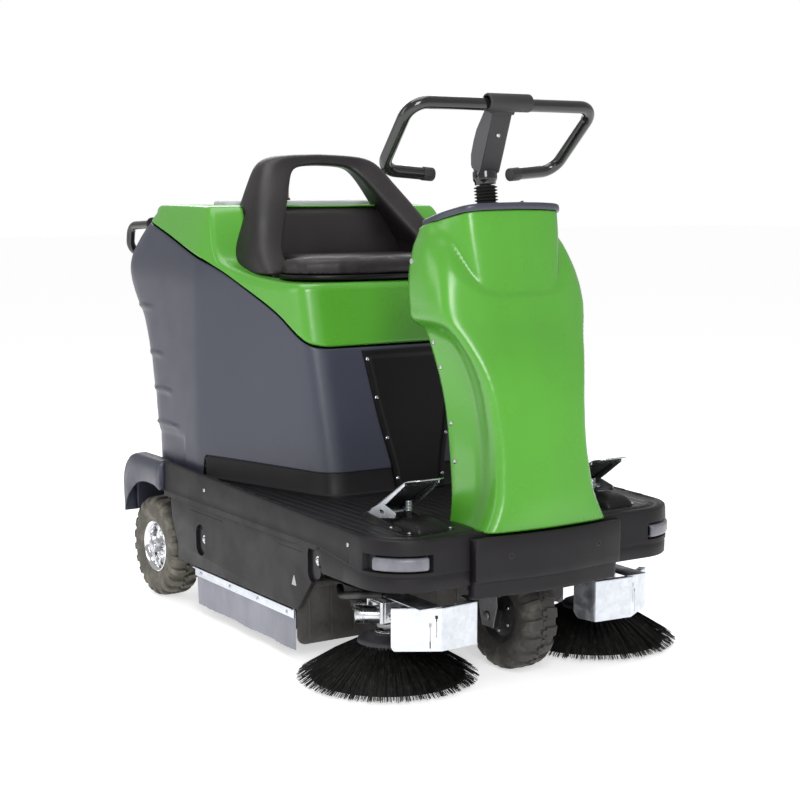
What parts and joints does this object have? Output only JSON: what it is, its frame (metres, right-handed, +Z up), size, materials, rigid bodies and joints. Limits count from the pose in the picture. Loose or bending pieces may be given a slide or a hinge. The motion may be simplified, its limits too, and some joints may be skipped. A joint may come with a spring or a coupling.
{
  "type": "ride-on sweeper",
  "caption": "Compact ride-on floor sweeper with a steered front wheel, side brushes, a main brush, a rear hopper and a tilting seat hood.",
  "frame": {"origin": "on the floor, under the middle of the machine's bounding box", "axes": "+Z up, the machine faces -Y, and +X is the seated driver's left"},
  "size_m": [0.96, 1.4396, 1.2505],
  "materials": {
    "green_moulding": "glossy light green moulding",
    "slate_moulding": "satin slate grey moulding",
    "black_moulding": "fine-grained black moulding",
    "pale_moulding": "light grey moulding",
    "seat_skin": "soft black integral skin",
    "black_rubber": "black rubber",
    "grey_rubber": "light grey rubber sheet",
    "rear_tyre": "grey non-marking tyre",
    "front_tyre": "dark tyre",
    "bright_rim": "bright plated rim",
    "plated_steel": "bright zinc plated steel",
    "black_steel": "black powder coat",
    "tube_lacquer": "glossy black lacquered tube",
    "black_housing": "plain black housing",
    "bristle": "black nylon bristle",
    "lamp_lens": "grey lamp lens",
    "amber_lens": "amber lens"
  },
  "bodies": {
    "machine": {"chassis_frame": "black_steel", "footwell_deck": "black_moulding", "front_bumper": "black_moulding", "corner_lens_left": "lamp_lens", "corner_lens_right": "lamp_lens", "side_skirt_left": "black_moulding", "side_skirt_right": "black_moulding", "flap_strip_left": "plated_steel", "flap_strip_right": "plated_steel", "dust_flap_left": "grey_rubber", "dust_flap_right": "grey_rubber", "mudguard_left": "slate_moulding", "mudguard_right": "slate_moulding", "body_plinth": "black_moulding", "seat_base_panel": "black_moulding", "body_shell": "slate_moulding", "rear_handle": "tube_lacquer", "battery_pack": "black_housing", "suction_fan": "black_housing", "dust_filter": "pale_moulding", "brush_tunnel": "black_steel", "main_brush_motor": "black_steel", "rear_axle": "black_steel", "column_cover": "green_moulding", "column_rear_panel": "slate_moulding", "dash_cap": "slate_moulding", "steering_gaiter": "black_rubber", "drive_pedal_bracket": "black_steel", "brake_pedal_bracket": "black_steel"},
    "hood": {"seat_hood": "green_moulding", "seat_shell": "seat_skin", "seat_cushion": "seat_skin", "beacon_base": "black_moulding", "beacon_lens": "amber_lens"},
    "filter_lid": {"filter_lid": "pale_moulding"},
    "hopper": {"waste_hopper": "black_moulding"},
    "main_brush": {"main_brush_core": "black_housing", "main_brush_bristles": "bristle"},
    "steering": {"steering_shaft": "black_steel", "steering_post": "black_steel", "handlebar": "tube_lacquer", "front_fork": "black_steel"},
    "front_wheel": {"front_tyre": "front_tyre", "front_rim": "black_steel"},
    "rear_wheel_left": {"rear_tyre_left": "rear_tyre", "rear_rim_left": "bright_rim"},
    "rear_wheel_right": {"rear_tyre_right": "rear_tyre", "rear_rim_right": "bright_rim"},
    "key": {"ignition_key": "plated_steel"},
    "drive_pedal": {"drive_pedal": "plated_steel"},
    "brake_pedal": {"brake_pedal": "plated_steel"},
    "brush_arm_left": {"brush_arm_left": "plated_steel", "brush_motor_left": "plated_steel", "brush_guard_left": "plated_steel"},
    "brush_arm_right": {"brush_arm_right": "plated_steel", "brush_motor_right": "plated_steel", "brush_guard_right": "plated_steel"},
    "side_brush_left": {"side_brush_left": "bristle"},
    "side_brush_right": {"side_brush_right": "bristle"}
  },
  "joints": [
    {"name": "steer", "type": "hinge", "parent": "machine", "child": "steering", "pos_m": [0, -0.555, 0.125], "axis": [0, 0.1132, 0.9936], "range_deg": [-55, 55]},
    {"name": "front_wheel_roll", "type": "hinge", "parent": "steering", "child": "front_wheel", "pos_m": [0, -0.555, 0.125], "axis": [1, 0, 0], "continuous": true},
    {"name": "rear_wheel_left_roll", "type": "hinge", "parent": "machine", "child": "rear_wheel_left", "pos_m": [0.3525, 0.465, 0.13], "axis": [1, 0, 0], "continuous": true},
    {"name": "rear_wheel_right_roll", "type": "hinge", "parent": "machine", "child": "rear_wheel_right", "pos_m": [-0.3525, 0.465, 0.13], "axis": [1, 0, 0], "continuous": true},
    {"name": "main_brush_spin", "type": "hinge", "parent": "machine", "child": "main_brush", "pos_m": [0, -0.005, 0.144], "axis": [1, 0, 0], "continuous": true},
    {"name": "brush_arm_left_lift", "type": "hinge", "parent": "machine", "child": "brush_arm_left", "pos_m": [0.28, -0.255, 0.2], "axis": [-1, 0, 0], "range_deg": [0, 6]},
    {"name": "brush_arm_right_lift", "type": "hinge", "parent": "machine", "child": "brush_arm_right", "pos_m": [-0.28, -0.255, 0.2], "axis": [-1, 0, 0], "range_deg": [0, 6]},
    {"name": "side_brush_left_spin", "type": "hinge", "parent": "brush_arm_left", "child": "side_brush_left", "pos_m": [0.28, -0.49, 0.098], "axis": [0, 0, 1], "continuous": true},
    {"name": "side_brush_right_spin", "type": "hinge", "parent": "brush_arm_right", "child": "side_brush_right", "pos_m": [-0.28, -0.49, 0.098], "axis": [0, 0, 1], "continuous": true},
    {"name": "drive_pedal_press", "type": "hinge", "parent": "machine", "child": "drive_pedal", "pos_m": [-0.25, -0.43, 0.352], "axis": [1, 0, 0], "range_deg": [0, 18], "stiffness_Nm_per_rad": 2.5, "springref_deg": -20.05},
    {"name": "brake_pedal_press", "type": "hinge", "parent": "machine", "child": "brake_pedal", "pos_m": [0.25, -0.43, 0.352], "axis": [1, 0, 0], "range_deg": [0, 18], "stiffness_Nm_per_rad": 2.5, "springref_deg": -20.05},
    {"name": "hood_tilt", "type": "hinge", "parent": "machine", "child": "hood", "pos_m": [0, 0.605, 0.977], "axis": [-1, 0, 0], "range_deg": [0, 60]},
    {"name": "filter_lid_tilt", "type": "hinge", "parent": "hood", "child": "filter_lid", "pos_m": [0, 0.443, 1.014], "axis": [-1, 0, 0], "range_deg": [0, 75]},
    {"name": "hopper_slide", "type": "slide", "parent": "machine", "child": "hopper", "axis": [0, 1, 0], "range_m": [0, 0.34]},
    {"name": "key_turn", "type": "hinge", "parent": "machine", "child": "key", "pos_m": [0.085, -0.47, 0.99462], "axis": [0, -0.2652, -0.9642], "range_deg": [0, 90]}
  ]
}
